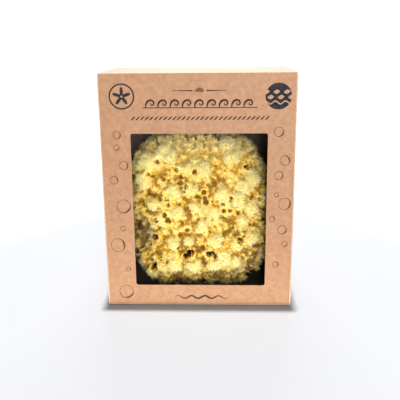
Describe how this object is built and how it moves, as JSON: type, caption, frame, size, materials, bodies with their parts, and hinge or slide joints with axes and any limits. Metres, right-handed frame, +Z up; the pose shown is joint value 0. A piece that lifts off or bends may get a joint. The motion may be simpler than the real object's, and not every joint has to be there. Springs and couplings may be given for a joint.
{
  "type": "boxed sea sponge",
  "caption": "Dry natural sea sponge in a kraft paper carton with a hinged tuck lid, dust flaps and an open window in its front.",
  "frame": {"origin": "middle of the carton's base, on the surface that it stands on", "axes": "+Z up, the window faces -Y, +X to the right of someone who looks at the window"},
  "size_m": [0.102, 0.064, 0.128],
  "materials": {
    "kraft_board": "uncoated brown kraft board",
    "dry_sponge": "matt fibrous skeleton, pale yellow"
  },
  "bodies": {
    "carton": {"front_panel": "kraft_board", "left_panel": "kraft_board", "right_panel": "kraft_board", "back_panel": "kraft_board", "glue_flap": "kraft_board", "bottom_panel": "kraft_board", "bottom_inner_flap": "kraft_board", "bottom_left_flap": "kraft_board", "bottom_right_flap": "kraft_board", "sponge": "dry_sponge"},
    "lid": {"lid_panel": "kraft_board"},
    "tuck": {"tuck_flap": "kraft_board"},
    "left_dust": {"left_dust_flap": "kraft_board"},
    "right_dust": {"right_dust_flap": "kraft_board"}
  },
  "joints": [
    {"name": "lid_hinge", "type": "hinge", "parent": "carton", "child": "lid", "pos_m": [0, 0.032, 0.128], "axis": [-1, 0, 0], "range_deg": [0, 120]},
    {"name": "tuck_fold", "type": "hinge", "parent": "lid", "child": "tuck", "pos_m": [0, -0.0311, 0.1274], "axis": [-1, 0, 0], "range_deg": [0, 36]},
    {"name": "left_dust_fold", "type": "hinge", "parent": "carton", "child": "left_dust", "pos_m": [-0.051, 0, 0.1271], "axis": [0, -1, 0], "range_deg": [0, 60]},
    {"name": "right_dust_fold", "type": "hinge", "parent": "carton", "child": "right_dust", "pos_m": [0.051, 0, 0.1271], "axis": [0, 1, 0], "range_deg": [0, 60]}
  ],
  "couplings": [
    {"joint": "tuck_fold", "follows": "lid_hinge", "ratio": 0.3},
    {"joint": "left_dust_fold", "follows": "lid_hinge", "ratio": 0.5},
    {"joint": "right_dust_fold", "follows": "lid_hinge", "ratio": 0.5}
  ]
}
